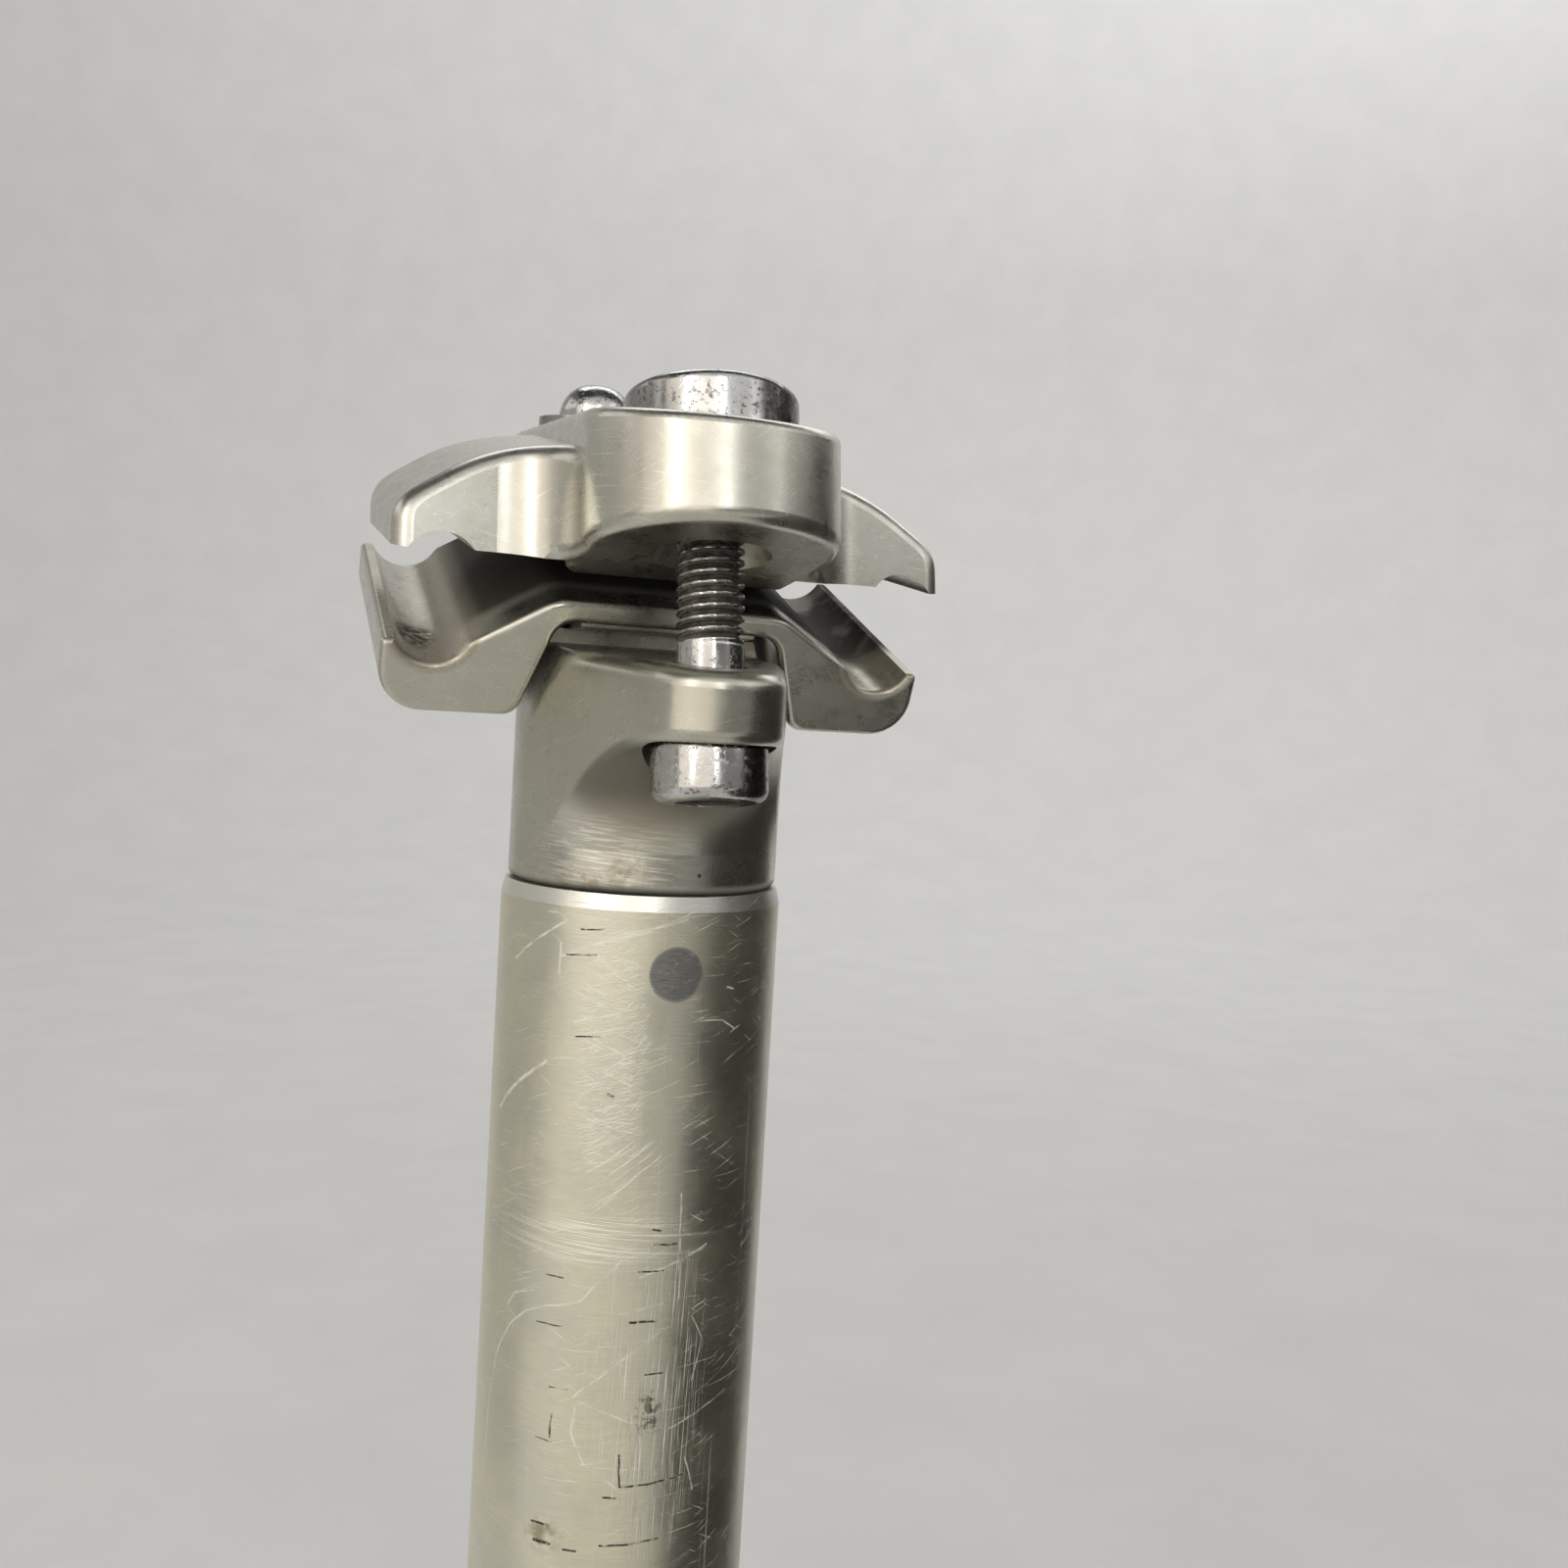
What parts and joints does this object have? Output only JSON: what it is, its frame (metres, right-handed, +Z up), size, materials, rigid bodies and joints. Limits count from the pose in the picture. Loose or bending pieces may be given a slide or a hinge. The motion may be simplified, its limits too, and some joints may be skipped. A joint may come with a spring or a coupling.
{
  "type": "bicycle seatpost",
  "caption": "Bicycle seatpost: round aluminium shaft pinned to a set-back head, with a rocking lower cradle and a bolted upper jaw for the saddle rails, standing open.",
  "frame": {"origin": "on the shaft's axis at its lower end", "axes": "+Z up along the shaft to the head, +Y to the rear of the bicycle (the set-back side), +X to the rider's right"},
  "size_m": [0.0528, 0.068, 0.2786],
  "materials": {
    "shaft": "satin, scratched from use",
    "head": "dull polish, brushed low down",
    "jaws": "dull polish with grime in the grooves",
    "fasteners": "bright plating, lightly pitted",
    "pin": "dull, flush with the shaft"
  },
  "bodies": {
    "root": {"shaft_tube": "shaft", "cross_pin": "pin", "head": "head", "lower_cradle": "jaws", "upper_clamp": "jaws", "front_bolt": "fasteners", "front_nut": "fasteners", "rear_bolt": "fasteners", "rear_nut": "fasteners"}
  },
  "joints": []
}
